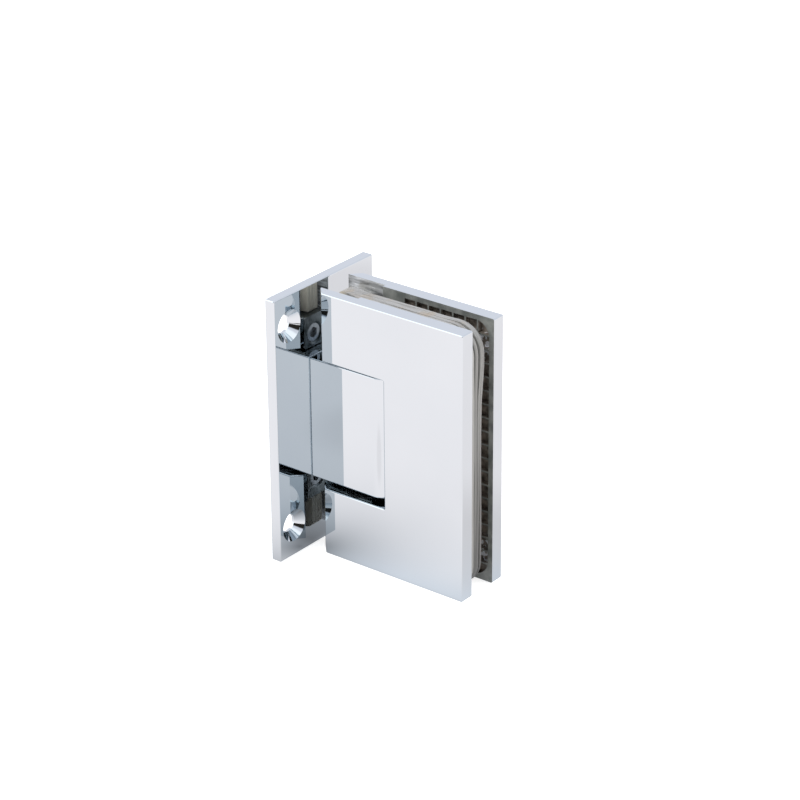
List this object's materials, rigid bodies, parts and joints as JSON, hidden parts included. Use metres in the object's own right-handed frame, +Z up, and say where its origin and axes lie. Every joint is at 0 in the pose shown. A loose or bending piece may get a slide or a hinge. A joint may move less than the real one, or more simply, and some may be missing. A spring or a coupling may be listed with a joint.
{
  "type": "glass door hinge",
  "caption": "Square wall-to-glass door hinge: wall plate with pivot block, and two clamp plates that grip a glass door and swing both ways.",
  "frame": {"origin": "centre of the wall plate's back face, which lies on the wall", "axes": "+X out of the wall into the door, +Z up along the pivot pin, -Y the front"},
  "size_m": [0.0649, 0.0486, 0.09],
  "materials": {
    "chrome": "mirror polished chrome plate",
    "gasket": "translucent soft plastic sheet",
    "screw_steel": "zinc plated steel",
    "pin_steel": "ground stainless steel",
    "spring_steel": "oiled spring wire",
    "follower_brass": "machined brass",
    "bush_nylon": "moulded black nylon"
  },
  "bodies": {
    "wall_side": {"wall_plate": "chrome", "pivot_block": "chrome", "block_screw_upper": "screw_steel", "block_screw_lower": "screw_steel", "pin_bush_upper": "bush_nylon", "pin_bush_lower": "bush_nylon", "follower_spring_upper": "spring_steel", "follower_spring_lower": "spring_steel"},
    "follower": {"cam_follower": "follower_brass"},
    "door_side": {"front_clamp_plate": "chrome", "rear_clamp_plate": "chrome", "pivot_pin": "pin_steel", "front_gasket_outer": "gasket", "front_gasket_inner": "gasket", "rear_gasket_inner": "gasket", "rear_gasket_outer": "gasket", "pin_set_screw_upper": "screw_steel", "pin_set_screw_lower": "screw_steel", "clamp_screw_upper": "screw_steel", "clamp_screw_lower": "screw_steel"}
  },
  "joints": [
    {"name": "door_pivot", "type": "hinge", "parent": "wall_side", "child": "door_side", "pos_m": [0.0195, 0, 0], "axis": [0, 0, 1], "range_deg": [-90, 90]},
    {"name": "follower_slide", "type": "slide", "parent": "wall_side", "child": "follower", "axis": [1, 0, 0], "range_m": [-0.0007, 0], "stiffness_N_per_m": 4000, "deforming": ["follower_spring_upper", "follower_spring_lower"]}
  ]
}
